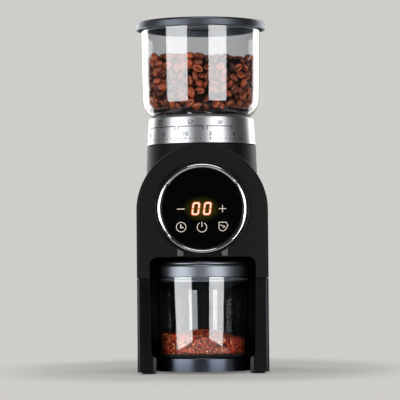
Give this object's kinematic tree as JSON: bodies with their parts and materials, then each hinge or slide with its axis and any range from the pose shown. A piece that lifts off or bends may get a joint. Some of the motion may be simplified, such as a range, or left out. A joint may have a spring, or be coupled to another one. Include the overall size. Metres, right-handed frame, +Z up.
{
  "type": "burr coffee grinder",
  "caption": "Upright electric burr coffee grinder with a clear bean hopper, a turning grind adjuster ring, a round touch panel and a clear grounds cup in a front bay.",
  "frame": {"origin": "on the table under the middle of the grinder's bounding box", "axes": "+Z up, the front with the touch panel and cup faces -Y, +X is the user's right"},
  "size_m": [0.1336, 0.1924, 0.3611],
  "materials": {
    "textured_black_plastic": "fine spark-eroded texture",
    "satin_black_plastic": "satin",
    "gloss_black_plastic": "gloss",
    "black_glass": "polished, printed black on the back",
    "chrome": "polished",
    "brushed_aluminium": "brushed round the ring",
    "gunmetal": "satin metallic",
    "dark_stand_metal": "satin metallic",
    "dark_lid_panel": "smoked gloss",
    "clear_hopper_plastic": "clear, slightly smoked",
    "clear_cup_plastic": "clear",
    "black_rubber": "matte",
    "grey_silicone": "matte",
    "black_nylon": "matte",
    "hardened_steel": "machined",
    "bright_steel": "ground",
    "zinc_screws": "zinc plated",
    "sintered_bronze": "sintered",
    "white_acetal": "moulded",
    "brass_pinion": "hobbed",
    "plated_motor_steel": "zinc plated",
    "motor_cap_plastic": "moulded",
    "ferrite": "sintered",
    "lamination_steel": "stacked, varnished",
    "gear_case_plastic": "moulded, glass filled",
    "circuit_board": "lacquered",
    "led_module": "moulded",
    "sensor_foam": "conductive foam",
    "board_parts": "moulded"
  },
  "bodies": {
    "housing": {"base_plate": "satin_black_plastic", "base_screws": "zinc_screws", "board_screws": "zinc_screws", "chamber_screws": "zinc_screws", "chrome_bezel": "chrome", "control_carrier": "gloss_black_plastic", "cord_gland": "black_rubber", "cup_bay": "gloss_black_plastic", "cup_stand": "dark_stand_metal", "digit_display": "led_module", "display_board": "circuit_board", "gear_case": "gear_case_plastic", "gear_case_cover": "gear_case_plastic", "gear_case_screws": "zinc_screws", "grind_chamber": "black_nylon", "grounds_chute": "black_nylon", "idler_pin": "bright_steel", "lower_housing": "satin_black_plastic", "motor_can": "plated_motor_steel", "motor_end_cap": "motor_cap_plastic", "motor_magnets": "ferrite", "motor_screws": "zinc_screws", "power_board": "circuit_board", "power_components": "board_parts", "rear_cover": "textured_black_plastic", "rear_cover_screws": "zinc_screws", "rubber_feet": "black_rubber", "shaft_bushes": "sintered_bronze", "touch_glass": "black_glass", "touch_posts": "sensor_foam", "upper_housing": "textured_black_plastic", "vibration_mounts": "black_rubber"},
    "adjuster": {"adjuster_sleeve": "brushed_aluminium", "adjuster_core": "black_nylon", "hopper_gasket": "grey_silicone"},
    "burr_holder": {"burr_carrier": "black_nylon", "ring_burr": "hardened_steel"},
    "hopper": {"hopper": "clear_hopper_plastic", "hopper_collar": "black_nylon"},
    "lid": {"lid_rim": "gunmetal", "lid_panel": "dark_lid_panel", "lid_seal": "grey_silicone"},
    "cup": {"grounds_cup": "clear_cup_plastic", "cup_foot": "black_rubber", "cup_lid": "gunmetal", "cup_lid_seal": "grey_silicone"},
    "rotor": {"motor_armature": "lamination_steel", "motor_shaft": "bright_steel", "motor_pinion": "brass_pinion"},
    "idler": {"idler_gear": "white_acetal"},
    "drive": {"drive_shaft": "bright_steel", "cone_burr": "hardened_steel", "burr_nut": "bright_steel", "impeller": "black_nylon", "output_gear": "white_acetal"}
  },
  "joints": [
    {"name": "grind_adjust", "type": "hinge", "parent": "housing", "child": "adjuster", "pos_m": [0, 0, 0.24], "axis": [0, 0, 1], "range_deg": [-37, 152]},
    {"name": "burr_lift", "type": "slide", "parent": "adjuster", "child": "burr_holder", "axis": [0, 0, 1], "range_m": [-0.0004, 0.0015]},
    {"name": "hopper_lift", "type": "slide", "parent": "adjuster", "child": "hopper", "axis": [0, 0, 1], "range_m": [0, 0.08]},
    {"name": "lid_lift", "type": "slide", "parent": "hopper", "child": "lid", "axis": [0, 0, 1], "range_m": [0, 0.06]},
    {"name": "cup_slide", "type": "slide", "parent": "housing", "child": "cup", "axis": [0, -1, 0], "range_m": [0, 0.13]},
    {"name": "motor_spin", "type": "hinge", "parent": "housing", "child": "rotor", "pos_m": [0, 0.05055, 0.1], "axis": [0, 0, 1], "continuous": true},
    {"name": "idler_spin", "type": "hinge", "parent": "housing", "child": "idler", "pos_m": [0.02382, 0.03221, 0.13], "axis": [0, 0, 1], "continuous": true},
    {"name": "burr_spin", "type": "hinge", "parent": "housing", "child": "drive", "pos_m": [0, 0, 0.18], "axis": [0, 0, 1], "continuous": true}
  ],
  "couplings": [
    {"joint": "burr_lift", "follows": "grind_adjust", "m_per_rad": 0.00053},
    {"joint": "idler_spin", "follows": "motor_spin", "ratio": -0.25},
    {"joint": "burr_spin", "follows": "motor_spin", "ratio": 0.0625}
  ]
}
